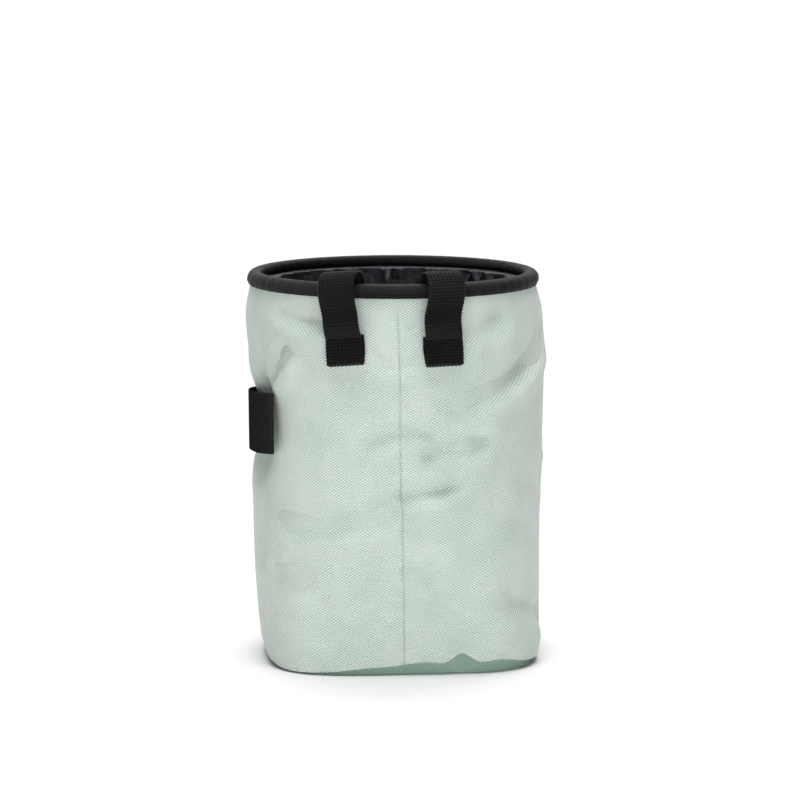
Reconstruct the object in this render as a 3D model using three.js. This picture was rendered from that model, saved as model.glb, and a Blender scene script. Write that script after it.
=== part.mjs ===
// Climbing chalk bag: a sewn cloth bucket with a bound mouth, two belt loops and a brush loop.
// Millimetres, +Z up. The bag stands on z = 0 with the middle of its base at the origin.
// The side with the centre seam and the belt loops faces -Y.

import * as THREE from 'three';
import { mergeVertices } from 'three/addons/utils/BufferGeometryUtils.js';

// Driving dimensions of the bag
const bagHeight = 164;
const mouthRadius = 61.5;
const shellWall = 1.5;
const baseWall = 1.5;
const liningWall = 1.0;
const seamGap = 0.3;

// Cloth tube: folds, dents and centre seam
const foldDepth = 2.4;
const foldWidth = 7.5;
const dentDepth = 10;
const seamDepth = 0.7;
const hemRise = 1.3;
const hemArch = 5.2;

// Base: how far its floor edge lies inside the cloth tube, and the seam allowance inside the tube
const floorInset = 2.6;
const seamAllowance = 6;

// Lining: play between lining and cloth tube, and depth and number of its gathers
const liningPlay = 3.2;
const gatherDepth = 1.3;
const gatherCount = 12;

// Levels of the lining where it swings out to the binding, in binding heights under the binding
const slackLevels = [1.3, 0.6];

// Binding tape round the mouth
const tapeWall = 1.0;
const tapeHeight = 5.8;

// Belt loops
const beltWebWidth = 16;
const beltWebThickness = 1.3;
const beltLoopDrop = 33.6;
const beltLoopRise = 4.8;
const beltLoopClear = 7.0;
const beltTailLength = 12.4;
const beltInnerEnd = 9.2;

// Straight stretch of a hanging belt loop: where it runs between tail and rim, and how far the arch
// reaches out over it
const beltStraight = { low: 0.35, high: 0.72, reach: 0.6 };

// Brush loop
const brushWebWidth = 25.4;
const brushWebThickness = 1.1;
const brushLoopHeight = 101.0;
const brushTailLength = 8;

// How tight the brush loop's band is drawn between its sewn ends: 1 is straight, 0 follows the bag
const brushLoopPull = 0.45;
// Extra room under its sewn ends, which are straight and tilted on the curved cloth
const brushSeatRoom = 0.16;

// Webbing that is folded under keeps this space between its two layers
const layerGap = 0.25;

// Resolution of the faceted cloth
const turnSteps = 64;
const shellSteps = 21;
const liningSteps = 6;
const foldSteps = 6;
const frontDensity = 0.3;

// Heights where the binding's legs end, and where the edges of tube and lining end inside it
const bindingFoot = bagHeight - tapeHeight;
const clothTop = bagHeight - tapeWall - seamGap;

const radians = THREE.MathUtils.degToRad;

// Outline of the cloth tube by height. Height is a share of bagHeight, the four reaches are shares of
// mouthRadius, square is the outline's exponent on the front half (2 is round), and yaw is in degrees.
const sections = [
  { height: 0.00, left: 0.897, right: 0.965, front: 0.876, back: 0.900, square: 3.7, yaw: 4.0 },
  { height: 0.07, left: 0.936, right: 0.984, front: 0.905, back: 0.925, square: 3.4, yaw: 3.5 },
  { height: 0.15, left: 0.956, right: 0.989, front: 0.930, back: 0.940, square: 3.0, yaw: 3.0 },
  { height: 0.26, left: 0.978, right: 0.998, front: 0.955, back: 0.955, square: 2.7, yaw: 2.0 },
  { height: 0.40, left: 0.986, right: 1.002, front: 0.975, back: 0.970, square: 2.5, yaw: 1.0 },
  { height: 0.55, left: 1.016, right: 1.018, front: 0.985, back: 0.980, square: 2.3, yaw: 0.0 },
  { height: 0.70, left: 1.026, right: 1.025, front: 0.990, back: 0.985, square: 2.2, yaw: 0.0 },
  { height: 0.80, left: 1.020, right: 1.030, front: 0.995, back: 0.990, square: 2.1, yaw: 0.0 },
  { height: 0.90, left: 1.026, right: 1.012, front: 0.995, back: 0.990, square: 2.0, yaw: 0.0 },
  { height: 0.96, left: 0.998, right: 0.970, front: 0.986, back: 0.981, square: 2.0, yaw: 0.0 },
  { height: 1.00, left: 0.979, right: 0.953, front: 0.968, back: 0.968, square: 2.0, yaw: 0.0 },
];

// Outline exponent of the back half: how much of the front's squareness it takes
const backSquareness = 0.4;

// Shape of every fold: height of the ridge, its distance below the valley and its width as shares of the
// valley's, and how far past its ends, and over what share of its length, the fold fades
const ridgeShape = { height: 0.45, below: 1.6, width: 1.1 };
const foldEnds = { past: 0.12, fade: 0.3 };

// Folds of the cloth tube: each is a valley with a low ridge under it. It runs from one place to
// another, each given as degrees from the front towards +X and a share of bagHeight. Bow is a share of
// bagHeight, and depth and width are shares of foldDepth and foldWidth.
const folds = [
  { name: 'under left of mouth', from: [-54, 0.925], to: [-26, 0.890], bow: 0.004, depth: 0.8, width: 0.8 },
  { name: 'above brush loop', from: [-45, 0.835], to: [-59, 0.735], bow: 0.0, depth: 0.9, width: 0.9 },
  { name: 'between loop ends', from: [-9, 0.822], to: [12, 0.812], bow: -0.018, depth: 0.4, width: 0.6 },
  { name: 'under right of mouth', from: [27, 0.868], to: [52, 0.920], bow: 0.0, depth: 0.6, width: 1.0 },
  { name: 'long right', from: [84, 0.850], to: [23, 0.685], bow: -0.008, depth: 1.0, width: 1.0 },
  { name: 'arc over middle', from: [-15, 0.582], to: [18, 0.605], bow: 0.028, depth: 0.6, width: 0.7 },
  { name: 'right of middle', from: [12, 0.562], to: [40, 0.608], bow: -0.004, depth: 0.8, width: 0.8 },
  { name: 'crisp below middle', from: [1, 0.456], to: [28, 0.502], bow: -0.004, depth: 0.8, width: 0.7 },
  { name: 'long left', from: [-52, 0.402], to: [1, 0.432], bow: -0.034, depth: 0.8, width: 0.9 },
  { name: 'low left', from: [-54, 0.270], to: [-32, 0.235], bow: 0.0, depth: 0.5, width: 1.1 },
  { name: 'low middle', from: [3, 0.268], to: [18, 0.250], bow: 0.0, depth: 0.4, width: 0.9 },
  { name: 'low right', from: [44, 0.185], to: [78, 0.120], bow: 0.0, depth: 0.6, width: 1.1 },
  { name: 'back upper', from: [128, 0.800], to: [196, 0.690], bow: -0.020, depth: 0.8, width: 1.1 },
  { name: 'back middle', from: [158, 0.500], to: [228, 0.570], bow: -0.015, depth: 0.8, width: 1.0 },
  { name: 'back right', from: [96, 0.560], to: [140, 0.470], bow: 0.010, depth: 0.7, width: 0.9 },
  { name: 'back low', from: [188, 0.240], to: [240, 0.310], bow: 0.012, depth: 0.6, width: 1.2 },
];

// Broad dents: the cloth behind the brush loop is pressed in, and the hem is pinched where it arches.
// Angles and spans are in degrees, heights and tall are shares of bagHeight, depth is a share of dentDepth.
const dents = [
  { name: 'brush channel', angle: -71, span: 13, height: 0.620, tall: 0.135, depth: 1.2 },
  { name: 'squeeze of brush loop', angle: -88, span: 36, height: 0.614, tall: 0.095, depth: 0.50 },
  { name: 'pinch over hem arch', angle: 27, span: 6, height: 0.050, tall: 0.045, depth: 0.09 },
  { name: 'hollow in back', angle: 184, span: 34, height: 0.420, tall: 0.220, depth: 0.17 },
];

// Waves of the hem above the floor: angles and spans in degrees, lift as a share of hemArch.
const hemWaves = [
  { angle: 28.5, span: 4.5, lift: 0.95 },
  { angle: 13, span: 17, lift: 0.75 },
  { angle: 43, span: 12, lift: 0.75 },
  { angle: 62, span: 9, lift: 0.20 },
  { angle: -12, span: 11, lift: 0.25 },
  { angle: -42, span: 14, lift: -0.16 },
  { angle: -68, span: 12, lift: 0.35 },
  { angle: 118, span: 24, lift: 0.30 },
  { angle: 205, span: 26, lift: 0.42 },
];

// The centre seam wanders: degrees from the front at each share of bagHeight.
const seamLine = [
  { height: 0.00, angle: 4.4 },
  { height: 0.30, angle: 3.4 },
  { height: 0.55, angle: 2.3 },
  { height: 0.80, angle: 1.9 },
  { height: 1.00, angle: 0.6 },
];

// Belt loops: place round the mouth and lean of the hanging part, in degrees.
const beltLoops = [
  { name: 'belt_loop_left', angle: -21.6, lean: 6.0 },
  { name: 'belt_loop_right', angle: 19.2, lean: 0.8 },
];

// Brush loop: where it starts and ends round the bag and its tilt, in degrees.
const brushSpan = { from: -51.2, to: -112, tilt: 5.0 };

function smooth(share) {
  const t = THREE.MathUtils.clamp(share, 0, 1);
  return t * t * (3 - 2 * t);
}

function bell(offset, spread) {
  return Math.exp(-((offset / spread) ** 2));
}

// Shortest turn between two angles in degrees
function turnBetween(angle, other) {
  return THREE.MathUtils.euclideanModulo(angle - other + 180, 360) - 180;
}

// Value of a table's column at a height, on a smooth curve through the rows
function columnAt(rows, share, column) {
  const last = rows.length - 1;
  const held = THREE.MathUtils.clamp(share, rows[0].height, rows[last].height);
  let row = 0;
  while (row < last - 1 && held > rows[row + 1].height) row += 1;
  const slopeAt = (index) => {
    const before = rows[Math.max(index - 1, 0)];
    const after = rows[Math.min(index + 1, last)];
    return (after[column] - before[column]) / (after.height - before.height);
  };
  const low = rows[row];
  const high = rows[row + 1];
  const step = high.height - low.height;
  const t = (held - low.height) / step;
  const startPart = (1 + 2 * t) * (1 - t) ** 2 * low[column] + t * (1 - t) ** 2 * step * slopeAt(row);
  const endPart = t * t * (3 - 2 * t) * high[column] + t * t * (t - 1) * step * slopeAt(row + 1);
  return startPart + endPart;
}

// Plain outline of the cloth tube, before folds and dents
function sectionRadius(angle, z) {
  const share = z / bagHeight;
  const turned = radians(angle - columnAt(sections, share, 'yaw'));
  const sideways = Math.sin(turned);
  const forwards = Math.cos(turned);
  const sideReach = columnAt(sections, share, sideways > 0 ? 'right' : 'left');
  const depthReach = columnAt(sections, share, forwards > 0 ? 'front' : 'back');
  const square = columnAt(sections, share, 'square');
  const power = forwards > 0 ? square : 2 + backSquareness * (square - 2);
  const sum = Math.abs(sideways / sideReach) ** power + Math.abs(forwards / depthReach) ** power;
  return mouthRadius * sum ** (-1 / power);
}

function dentDepthAt(angle, z) {
  let depth = 0;
  for (const dent of dents) {
    const across = bell(turnBetween(angle, dent.angle), dent.span);
    const along = bell(z / bagHeight - dent.height, dent.tall);
    depth += dent.depth * dentDepth * across * along;
  }
  return depth;
}

// Valley of one fold with the ridge under it, faded at its ends
function foldOffset(fold, angle, z) {
  const [startAngle, startHeight] = fold.from;
  const [endAngle, endHeight] = fold.to;
  const arcLength = radians(turnBetween(endAngle, startAngle)) * mouthRadius;
  const rise = (endHeight - startHeight) * bagHeight;
  const length = Math.hypot(arcLength, rise);
  const alongArc = radians(turnBetween(angle, startAngle)) * mouthRadius;
  const up = z - startHeight * bagHeight;
  const share = (alongArc * arcLength + up * rise) / length ** 2;
  const across = (up * arcLength - alongArc * rise) / length * Math.sign(arcLength);
  const bow = 4 * share * (1 - share) * fold.bow * bagHeight;
  const width = fold.width * foldWidth;
  const begins = smooth((share + foldEnds.past) / foldEnds.fade);
  const ends = smooth((1 + foldEnds.past - share) / foldEnds.fade);
  const valley = bell(across - bow, width);
  const ridge = ridgeShape.height * bell(across - bow + ridgeShape.below * width, ridgeShape.width * width);
  return fold.depth * foldDepth * begins * ends * (ridge - valley);
}

// Outside of the cloth tube without its folds, which the lining doesn't follow
function calmRadius(angle, z) {
  return sectionRadius(angle, z) - dentDepthAt(angle, z);
}

// The binding holds the cloth smooth: below it, folds, seam and slack grow to their full size
function looseness(z) {
  return smooth((bindingFoot - z) / (2 * tapeHeight));
}

// Outside of the cloth tube
function shellRadius(angle, z) {
  let radius = calmRadius(angle, z);
  for (const fold of folds) radius += looseness(z) * foldOffset(fold, angle, z);
  return radius;
}

// Height of the hem above the floor
function hemHeight(angle) {
  let height = hemRise;
  for (const wave of hemWaves) {
    height += wave.lift * hemArch * bell(turnBetween(angle, wave.angle), wave.span);
  }
  return Math.max(height, seamGap);
}

// Angles round the bag, closer together at the front, with the first one on the centre seam
function turnAngle(step, z) {
  const even = step / turnSteps * 2 * Math.PI;
  const angle = even - frontDensity * Math.sin(even);
  const seam = columnAt(seamLine, z / bagHeight, 'angle');
  return THREE.MathUtils.radToDeg(angle) + seam * (1 + Math.cos(angle)) / 2;
}

function polar(radius, angle, z) {
  return new THREE.Vector3(radius * Math.sin(radians(angle)), -radius * Math.cos(radians(angle)), z);
}

// A ring of points round the bag: the function gives radius and height at each angle
function ring(place, seatHeight) {
  const points = [];
  for (let step = 0; step < turnSteps; step += 1) {
    const angle = turnAngle(step, seatHeight);
    const [radius, z] = place(angle, step);
    points.push(polar(radius, angle, z));
  }
  return points;
}

// Closed surface through rings of equal size. Without poles the last ring joins the first.
function ringSolid(rings, poles) {
  const points = rings.flat();
  const count = rings[0].length;
  const faces = [];
  const joins = poles ? rings.length - 1 : rings.length;
  for (let row = 0; row < joins; row += 1) {
    const next = (row + 1) % rings.length;
    for (let step = 0; step < count; step += 1) {
      const beside = (step + 1) % count;
      const a = row * count + step;
      const b = row * count + beside;
      const c = next * count + beside;
      const d = next * count + step;
      faces.push(a, b, c, a, c, d);
    }
  }
  if (poles) {
    const start = points.length;
    points.push(...poles);
    const lastRow = (rings.length - 1) * count;
    for (let step = 0; step < count; step += 1) {
      const beside = (step + 1) % count;
      faces.push(start, beside, step);
      faces.push(start + 1, lastRow + step, lastRow + beside);
    }
  }
  const geometry = new THREE.BufferGeometry().setFromPoints(points);
  geometry.setIndex(faces);
  geometry.computeVertexNormals();
  return geometry;
}

// Outline of a ribbon of even thickness along a flat path
function ribbonShape(path, thickness) {
  const left = [];
  const right = [];
  path.forEach((point, index) => {
    const before = path[Math.max(index - 1, 0)];
    const after = path[Math.min(index + 1, path.length - 1)];
    const arriving = point.clone().sub(before).normalize();
    const leaving = after.clone().sub(point).normalize();
    const heading = arriving.clone().add(leaving).normalize();
    const widen = index > 0 && index < path.length - 1 ? heading.dot(leaving) : 1;
    const offset = new THREE.Vector2(-heading.y, heading.x).multiplyScalar(thickness / 2 / widen);
    left.push(point.clone().add(offset));
    right.push(point.clone().sub(offset));
  });
  return new THREE.Shape([...left, ...right.reverse()]);
}

// Ribbon of webbing as a closed solid, its width centred on the path's plane
function webbing(path, thickness, width) {
  const shape = ribbonShape(path, thickness);
  const extruded = new THREE.ExtrudeGeometry(shape, { depth: width, bevelEnabled: false });
  extruded.translate(0, 0, -width / 2);
  extruded.deleteAttribute('normal');
  extruded.deleteAttribute('uv');
  const geometry = mergeVertices(extruded);
  geometry.computeVertexNormals();
  return geometry;
}

function cloth(color, roughness) {
  return new THREE.MeshStandardMaterial({ color, roughness, metalness: 0 });
}

// Cloth tube, open at both ends
function outerShell() {
  const level = (heightAt, inward) => ring((angle, step) => {
    const z = heightAt(angle);
    const groove = step === 0 ? seamDepth * looseness(z) : 0;
    return [shellRadius(angle, z) - groove - inward, z];
  }, heightAt(0));
  const heights = [];
  for (let step = 0; step <= shellSteps; step += 1) {
    const share = step / shellSteps;
    heights.push((angle) => hemHeight(angle) + (bindingFoot - hemHeight(angle)) * share);
  }
  heights.push(() => clothTop);
  const outside = heights.map((heightAt) => level(heightAt, 0));
  const inside = heights.map((heightAt) => level(heightAt, shellWall));
  return ringSolid([...outside, ...inside.reverse()]);
}

// Shallow dish under the tube, with its edge turned up inside the hem
function basePanel() {
  const inner = shellWall + seamGap + seamDepth;
  const topEdge = (angle) => hemHeight(angle) + seamAllowance;
  const rows = [
    (angle) => [shellRadius(angle, 0) - floorInset, 0],
    (angle) => [shellRadius(angle, 0) - seamDepth - seamGap, (hemHeight(angle) - seamGap) / 2],
    (angle) => [shellRadius(angle, hemHeight(angle)) - inner, hemHeight(angle)],
    (angle) => [shellRadius(angle, topEdge(angle)) - inner, topEdge(angle)],
    (angle) => [shellRadius(angle, topEdge(angle)) - inner - baseWall, topEdge(angle)],
    (angle) => [shellRadius(angle, hemHeight(angle)) - inner - baseWall, hemHeight(angle) + baseWall],
    (angle) => [shellRadius(angle, 0) - floorInset - inner, baseWall],
  ];
  const rings = rows.map((row) => ring(row, 0));
  return ringSolid(rings, [new THREE.Vector3(0, 0, 0), new THREE.Vector3(0, 0, baseWall)]);
}

// How far the lining lies inside the cloth tube: close under the binding, slack below it
function liningOffset(angle, z) {
  const gather = gatherDepth * (0.5 - 0.5 * Math.cos(radians(gatherCount * angle)));
  return shellWall + seamGap + looseness(z) * (liningPlay + gather);
}

// Gathered sock inside the tube, closed at the bottom
function lining() {
  const floor = baseWall + seamGap;
  const corner = seamAllowance + hemRise;
  const outsideAt = (angle, z) => calmRadius(angle, z) - liningOffset(angle, z);
  const level = (z, inward) => ring((angle) => [outsideAt(angle, z) - inward, z], z);
  const disc = (inset, z) => ring((angle) => [outsideAt(angle, corner) - inset, z], 0);
  const slackTop = bindingFoot - 2 * tapeHeight;
  const heights = [];
  for (let step = 0; step <= liningSteps; step += 1) {
    heights.push(corner + (slackTop - corner) * step / liningSteps);
  }
  for (const part of slackLevels) heights.push(bindingFoot - part * tapeHeight);
  heights.push(bindingFoot, clothTop);
  const outside = heights.map((z) => level(z, 0));
  const inside = heights.map((z) => level(z, liningWall)).reverse();
  return ringSolid(
    [disc(corner, floor), ...outside, ...inside, disc(corner, floor + liningWall)],
    [new THREE.Vector3(0, 0, floor), new THREE.Vector3(0, 0, floor + liningWall)],
  );
}

// Inward reach of the binding's channel, which holds the edges of tube and lining
const channelDepth = shellWall + liningWall + 2 * seamGap;

// Folded tape that closes over the top edges of tube and lining
function rimBinding() {
  const foot = bindingFoot;
  const roof = bagHeight - tapeWall;
  const round = tapeWall / 2;
  const outer = seamGap + tapeWall;
  const inner = -(channelDepth + tapeWall);
  const profile = [
    { offset: seamGap, z: foot },
    { offset: outer, z: foot },
    { offset: outer + round / 2, z: (foot + roof) / 2 },
    { offset: outer - round, z: bagHeight - round / 2 },
    { offset: (outer + inner) / 2, z: bagHeight },
    { offset: inner + round, z: bagHeight - round / 2 },
    { offset: inner, z: roof },
    { offset: inner, z: foot },
    { offset: -channelDepth, z: foot },
    { offset: -channelDepth, z: roof },
    { offset: seamGap, z: roof },
  ];
  const rings = profile.map((point) => ring(
    (angle) => [shellRadius(angle, Math.max(point.z, foot)) + point.offset, point.z],
    bagHeight,
  ));
  return ringSolid(rings);
}

// Places of the cloth tube under a patch of webbing: degrees from the patch's middle, and radius
function patchUnder(angle, width, zLow, zHigh) {
  const spread = THREE.MathUtils.radToDeg(Math.asin((width / 2 + seamGap) / mouthRadius));
  const checks = 8;
  const places = [];
  for (let side = -checks; side <= checks; side += 1) {
    for (let rise = 0; rise <= checks; rise += 1) {
      const turn = spread * side / checks;
      const z = zLow + (zHigh - zLow) * rise / checks;
      places.push({ turn, radius: shellRadius(angle + turn, z) });
    }
  }
  return places;
}

// Furthest and nearest reach of the tube towards a flat patch of webbing
function flatReach(angle, width, zLow, zHigh) {
  const places = patchUnder(angle, width, zLow, zHigh);
  const reaches = places.map(({ turn, radius }) => radius * Math.cos(radians(turn)));
  return { near: Math.min(...reaches), far: Math.max(...reaches) };
}

// Path of a belt loop in its own upright plane: x is the distance from the bag's axis, y is the height.
// It rises inside the mouth, arches over the binding, hangs clear and ends in a folded tail on the tube.
function beltLoopPath(direction) {
  const half = beltWebThickness / 2;
  const lowEnd = bagHeight - beltLoopDrop;
  const tailTop = lowEnd + beltTailLength;
  const foldRadius = half + layerGap / 2;
  const rim = flatReach(direction, beltWebWidth, bindingFoot, bagHeight);
  const body = flatReach(direction, beltWebWidth, lowEnd, tailTop);
  const insideX = rim.near - channelDepth - tapeWall - seamGap - half - layerGap;
  const overX = rim.far + seamGap + 2 * tapeWall + half + layerGap;
  const tailX = body.far + seamGap + half;
  const hangX = tailX + 2 * foldRadius;
  const hung = flatReach(direction, beltWebWidth, tailTop, bindingFoot);
  const clearX = hung.far + beltLoopClear + half;
  const archTop = bagHeight + beltLoopRise - half;
  const shoulder = bagHeight - tapeHeight / 2;
  const straightLow = tailTop + beltStraight.low * (shoulder - tailTop);
  const straightHigh = tailTop + beltStraight.high * (shoulder - tailTop);
  const path = new THREE.Path();
  path.moveTo(insideX, bagHeight - beltInnerEnd);
  path.lineTo(insideX, shoulder);
  path.quadraticCurveTo(insideX, archTop, (insideX + overX) / 2, archTop);
  path.quadraticCurveTo(overX + beltStraight.reach * (clearX - overX), archTop, clearX, straightHigh);
  path.lineTo(clearX, straightLow);
  path.quadraticCurveTo(clearX, (straightLow + tailTop) / 2, hangX, tailTop - foldRadius);
  path.lineTo(hangX, lowEnd + foldRadius + half);
  path.absarc(tailX + foldRadius, lowEnd + foldRadius + half, foldRadius, 0, -Math.PI, true);
  path.lineTo(tailX, tailTop);
  return withoutRepeats(path.getPoints(foldSteps));
}

// A path's points with each repeated point dropped
function withoutRepeats(points) {
  const shortest = 0.01;
  return points.filter((point, index) => index === 0 || point.distanceTo(points[index - 1]) > shortest);
}

function beltLoop(loop) {
  const geometry = webbing(beltLoopPath(loop.angle), beltWebThickness, beltWebWidth);
  const pivot = bagHeight;
  geometry.translate(0, -pivot, 0);
  geometry.rotateX(radians(loop.lean));
  geometry.translate(0, pivot, 0);
  const outward = polar(1, loop.angle, 0);
  const up = new THREE.Vector3(0, 0, 1);
  const across = outward.clone().cross(up);
  geometry.applyMatrix4(new THREE.Matrix4().makeBasis(outward, up, across));
  return geometry;
}

// Path of the brush loop seen from above: folded tail, standing band, folded tail. The band is drawn
// straight between its two sewn ends.
function brushLoopPath() {
  const half = brushWebThickness / 2;
  const foldRadius = half + layerGap / 2;
  const middle = (brushSpan.from + brushSpan.to) / 2;
  const turnOf = (length) => THREE.MathUtils.radToDeg(length / mouthRadius);
  const tail = turnOf(brushTailLength);
  const seatAt = (angle) => {
    const lift = mouthRadius * Math.sin(radians(angle - middle)) * Math.sin(radians(brushSpan.tilt));
    const low = brushLoopHeight + lift - brushWebWidth / 2 - brushWebThickness;
    const high = brushLoopHeight + lift + brushWebWidth / 2 + brushWebThickness;
    const patch = brushTailLength + 4 * brushWebThickness;
    const radii = patchUnder(angle, patch, low, high).map(({ radius }) => radius);
    return Math.max(...radii) + seamGap + brushSeatRoom + half;
  };
  const flat = (radius, angle) => {
    const point = polar(radius, angle, 0);
    return new THREE.Vector2(point.x, point.y);
  };
  const startSeat = seatAt(brushSpan.from - tail / 2);
  const endSeat = seatAt(brushSpan.to + tail / 2);
  const steps = 4 * foldSteps;
  const freeHalf = (brushSpan.from - brushSpan.to) / 2 - tail;
  const standing = [];
  for (let step = 0; step <= steps; step += 1) {
    const share = step / steps;
    const angle = brushSpan.from + (brushSpan.to - brushSpan.from) * share;
    const seat = startSeat + (endSeat - startSeat) * share;
    const aside = Math.min(Math.abs(angle - middle), freeHalf);
    const straight = Math.cos(radians(freeHalf)) / Math.cos(radians(aside));
    standing.push(flat((seat + 2 * foldRadius) * (1 - brushLoopPull * (1 - straight)), angle));
  }
  return withoutRepeats([
    flat(startSeat, brushSpan.from - tail),
    flat(startSeat, brushSpan.from - tail / 2),
    flat(startSeat, brushSpan.from),
    flat(startSeat + foldRadius, brushSpan.from + turnOf(foldRadius)),
    ...standing,
    flat(endSeat + foldRadius, brushSpan.to - turnOf(foldRadius)),
    flat(endSeat, brushSpan.to),
    flat(endSeat, brushSpan.to + tail / 2),
    flat(endSeat, brushSpan.to + tail),
  ]);
}

function brushLoop() {
  const geometry = webbing(brushLoopPath(), brushWebThickness, brushWebWidth);
  const middle = (brushSpan.from + brushSpan.to) / 2;
  const outward = polar(1, middle, 0);
  geometry.applyMatrix4(new THREE.Matrix4().makeRotationAxis(outward, radians(brushSpan.tilt)));
  geometry.translate(0, 0, brushLoopHeight);
  return geometry;
}

const bag = new THREE.Group();

function addPiece(name, geometry, material) {
  const mesh = new THREE.Mesh(geometry, material);
  mesh.name = name;
  bag.add(mesh);
}

addPiece('outer_shell', outerShell(), cloth(0xccdad1, 0.85));
addPiece('base_panel', basePanel(), cloth(0xb9cbc0, 0.85));
addPiece('lining', lining(), cloth(0x2a292d, 0.6));
addPiece('rim_binding', rimBinding(), cloth(0x202022, 0.75));
for (const loop of beltLoops) addPiece(loop.name, beltLoop(loop), cloth(0x1b1b1d, 0.8));
addPiece('brush_loop', brushLoop(), cloth(0x202020, 0.8));

export default bag;
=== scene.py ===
# Looks of the climbing chalk bag, in metres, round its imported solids. +Z is up and the photographed
# side faces -Y. Angles round the bag are in degrees from that side towards +X.

import math

import bpy
import numpy as np
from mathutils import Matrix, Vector, noise


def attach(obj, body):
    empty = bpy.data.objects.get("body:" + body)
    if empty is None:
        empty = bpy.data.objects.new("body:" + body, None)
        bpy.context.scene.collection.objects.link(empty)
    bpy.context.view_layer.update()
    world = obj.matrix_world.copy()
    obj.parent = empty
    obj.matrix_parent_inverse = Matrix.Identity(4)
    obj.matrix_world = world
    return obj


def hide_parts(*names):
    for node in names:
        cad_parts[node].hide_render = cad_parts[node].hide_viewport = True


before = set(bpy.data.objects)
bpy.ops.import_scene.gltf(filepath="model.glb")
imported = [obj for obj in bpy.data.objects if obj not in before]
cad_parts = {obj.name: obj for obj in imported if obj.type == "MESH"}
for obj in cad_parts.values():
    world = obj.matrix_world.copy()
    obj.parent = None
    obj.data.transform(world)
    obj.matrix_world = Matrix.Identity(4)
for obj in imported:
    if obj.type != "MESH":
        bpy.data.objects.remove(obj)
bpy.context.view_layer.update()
mm = 0.001

# Sizes of the bag, the same as in its solids
bag_height = 164 * mm
mouth_radius = 61.5 * mm
shell_wall = 1.5 * mm
base_wall = 1.5 * mm
lining_wall = 1.0 * mm
seam_gap = 0.3 * mm
dent_depth = 10 * mm
seam_depth = 0.7 * mm
hem_rise = 1.3 * mm
hem_arch = 5.2 * mm
floor_inset = 2.6 * mm
seam_allowance = 6 * mm
tape_wall = 1.0 * mm
tape_height = 5.8 * mm
belt_web_width = 16 * mm
belt_web_thickness = 1.3 * mm
belt_loop_drop = 33.6 * mm
belt_loop_rise = 4.8 * mm
belt_loop_clear = 7.0 * mm
belt_tail_length = 12.4 * mm
belt_inner_end = 9.2 * mm
belt_rib = 1.33 * mm
brush_web_width = 25.4 * mm
brush_web_thickness = 1.1 * mm
brush_loop_height = 101.0 * mm
brush_tail_length = 8 * mm
brush_seat_room = 0.16 * mm
layer_gap = 0.25 * mm

# Softness of the look, past that of the solids: deeper and narrower folds, a looser lining, a brush loop
# drawn tighter between its sewn ends (1 is straight) and a binding whose inner leg is shorter
fold_depth = 4.4 * mm
fold_width = 5.2 * mm
lining_play = 3.6 * mm
lining_ledge = 0.5 * mm
brush_loop_pull = 0.6
inner_leg_rise = 1.5 * mm

binding_foot = bag_height - tape_height
inner_foot = binding_foot + inner_leg_rise
cloth_top = bag_height - tape_wall - seam_gap
channel_depth = shell_wall + lining_wall + 2 * seam_gap

# Straight stretch of a hanging belt loop, and how far the arch reaches out over it
belt_straight = {"low": 0.35, "high": 0.72, "reach": 0.6}

# Outline of the cloth tube by height. Height is a share of bag_height, the four reaches are shares of
# mouth_radius, square is the outline's exponent on the front half (2 is round), and yaw is in degrees.
sections = [
    {"height": 0.00, "left": 0.897, "right": 0.965, "front": 0.876, "back": 0.900, "square": 3.7, "yaw": 4.0},
    {"height": 0.07, "left": 0.936, "right": 0.984, "front": 0.905, "back": 0.925, "square": 3.4, "yaw": 3.5},
    {"height": 0.15, "left": 0.956, "right": 0.989, "front": 0.930, "back": 0.940, "square": 3.0, "yaw": 3.0},
    {"height": 0.26, "left": 0.978, "right": 0.998, "front": 0.955, "back": 0.955, "square": 2.7, "yaw": 2.0},
    {"height": 0.40, "left": 0.986, "right": 1.002, "front": 0.975, "back": 0.970, "square": 2.5, "yaw": 1.0},
    {"height": 0.55, "left": 1.016, "right": 1.018, "front": 0.985, "back": 0.980, "square": 2.3, "yaw": 0.0},
    {"height": 0.70, "left": 1.026, "right": 1.025, "front": 0.990, "back": 0.985, "square": 2.2, "yaw": 0.0},
    {"height": 0.80, "left": 1.020, "right": 1.030, "front": 0.995, "back": 0.990, "square": 2.1, "yaw": 0.0},
    {"height": 0.90, "left": 1.026, "right": 1.012, "front": 0.995, "back": 0.990, "square": 2.0, "yaw": 0.0},
    {"height": 0.96, "left": 0.998, "right": 0.970, "front": 0.986, "back": 0.981, "square": 2.0, "yaw": 0.0},
    {"height": 1.00, "left": 0.979, "right": 0.953, "front": 0.968, "back": 0.968, "square": 2.0, "yaw": 0.0},
]

# Outline exponent of the back half: how much of the front's squareness it takes
back_squareness = 0.4

# Shape of every fold: the ridge's height, its distance below the valley and its width as shares of the
# valley's, and how far past its ends, and over what share of its length, the fold fades
ridge_shape = {"height": 0.45, "below": 1.6, "width": 1.1}
fold_ends = {"past": 0.12, "fade": 0.3}

# How much a fold wanders aside, widens and deepens along its length, as shares of its plain size
fold_unevenness = {"aside": 0.12, "width": 0.12, "depth": 0.2}

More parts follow.
